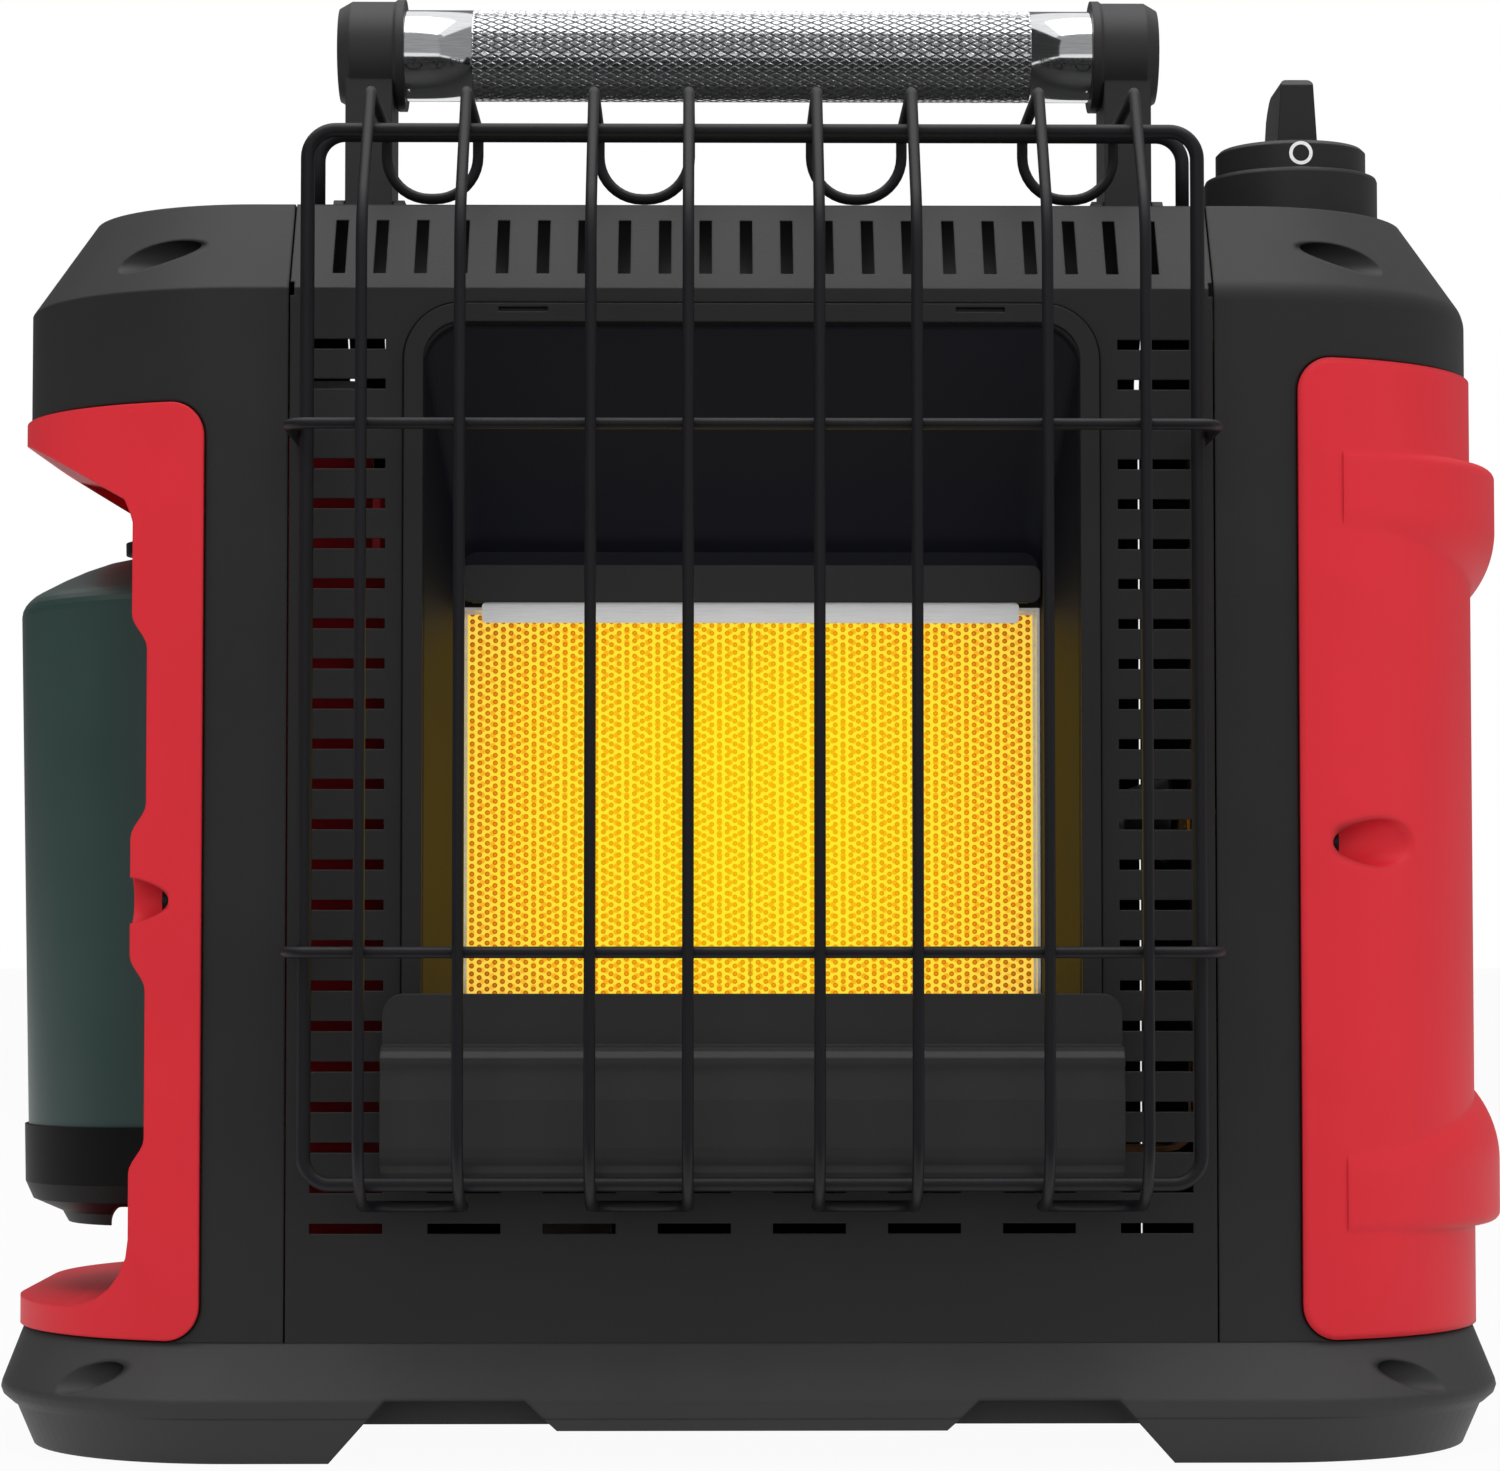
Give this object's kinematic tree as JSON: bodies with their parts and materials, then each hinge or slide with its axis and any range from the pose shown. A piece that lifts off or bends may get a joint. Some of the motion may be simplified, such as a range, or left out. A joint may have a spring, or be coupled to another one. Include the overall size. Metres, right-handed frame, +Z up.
{
  "type": "portable propane heater",
  "caption": "Portable radiant gas heater: glowing ceramic burner behind a wire guard, folding chrome handle, top knob and a small gas cylinder hung in a red side bay.",
  "frame": {"origin": "centre of the plane the heater stands on, under the middle of its casing", "axes": "+Z up; -Y is the way the glowing face looks; -X is the side the gas cylinder hangs on"},
  "size_m": [0.4072, 0.2404, 0.3965],
  "materials": {
    "black_plastic": "fine moulded texture",
    "red_plastic": "smooth moulded",
    "steel_black": "satin black paint",
    "guard_black": "semi-gloss black wire",
    "chrome": "polished, knurled grip",
    "zinc": "zinc plated",
    "aluminium": "bright strip",
    "brass": "machined",
    "copper": "drawn tube",
    "ceramic": "glowing perforated plaque",
    "white_ceramic": "glazed",
    "tank_green": "gloss dark green",
    "tank_plastic": "moulded",
    "rubber": "matt",
    "switch_plastic": "moulded"
  },
  "bodies": {
    "casing": {"base_tray": "black_plastic", "foot_pads": "rubber", "front_panel": "steel_black", "top_plate": "steel_black", "rear_panel": "steel_black", "left_housing": "black_plastic", "right_housing": "black_plastic", "bay_liner": "red_plastic", "side_cover": "red_plastic", "recess_frame": "steel_black", "burner_pan": "steel_black", "plenum_box": "zinc", "ceramic_tiles": "ceramic", "tile_frame": "zinc", "reflector_strip": "aluminium", "upper_deflector": "steel_black", "lower_shield": "steel_black", "guard_ring": "guard_black", "guard_uprights": "guard_black", "guard_cross_wires": "guard_black", "guard_stay": "guard_black", "handle_brackets": "black_plastic", "handle_pins": "chrome", "knob_bezel": "black_plastic", "stem_spring": "zinc", "gas_valve": "brass", "valve_bracket": "zinc", "swing_bracket": "zinc", "swing_pin": "brass", "supply_pipe": "copper", "burner_pipe": "copper", "pilot_pipe": "copper", "venturi_tube": "zinc", "gas_jet": "brass", "pilot_bracket": "zinc", "pilot_burner": "zinc", "spark_rod": "white_ceramic", "thermocouple": "copper", "tip_switch": "switch_plastic", "casing_screws": "zinc", "panel_screws": "zinc"},
    "handle": {"handle_tube": "chrome", "handle_ends": "black_plastic"},
    "plunger": {"valve_plunger": "zinc"},
    "knob": {"knob": "black_plastic", "valve_stem": "brass"},
    "regulator": {"regulator": "zinc", "regulator_nut": "tank_plastic"},
    "cylinder": {"tank": "tank_green", "tank_cup": "tank_plastic", "tank_valve": "brass"}
  },
  "joints": [
    {"name": "handle_fold", "type": "hinge", "parent": "casing", "child": "handle", "pos_m": [0, 0.005, 0.3341], "axis": [-1, 0, 0], "range_deg": [0, 84]},
    {"name": "knob_push", "type": "slide", "parent": "casing", "child": "plunger", "axis": [0, 0, -1], "range_m": [0, 0.004], "stiffness_N_per_m": 800, "springref_m": -0.002, "deforming": ["stem_spring"]},
    {"name": "knob_turn", "type": "hinge", "parent": "plunger", "child": "knob", "pos_m": [0.147, -0.039, 0.335], "axis": [0, 0, 1], "range_deg": [0, 240]},
    {"name": "regulator_swing", "type": "hinge", "parent": "casing", "child": "regulator", "pos_m": [-0.116, 0, 0.276], "axis": [0, 1, 0], "range_deg": [0, 18]},
    {"name": "cylinder_unscrew", "type": "slide", "parent": "regulator", "child": "cylinder", "axis": [0.0209, 0, -0.9998], "range_m": [0, 0.014]}
  ]
}
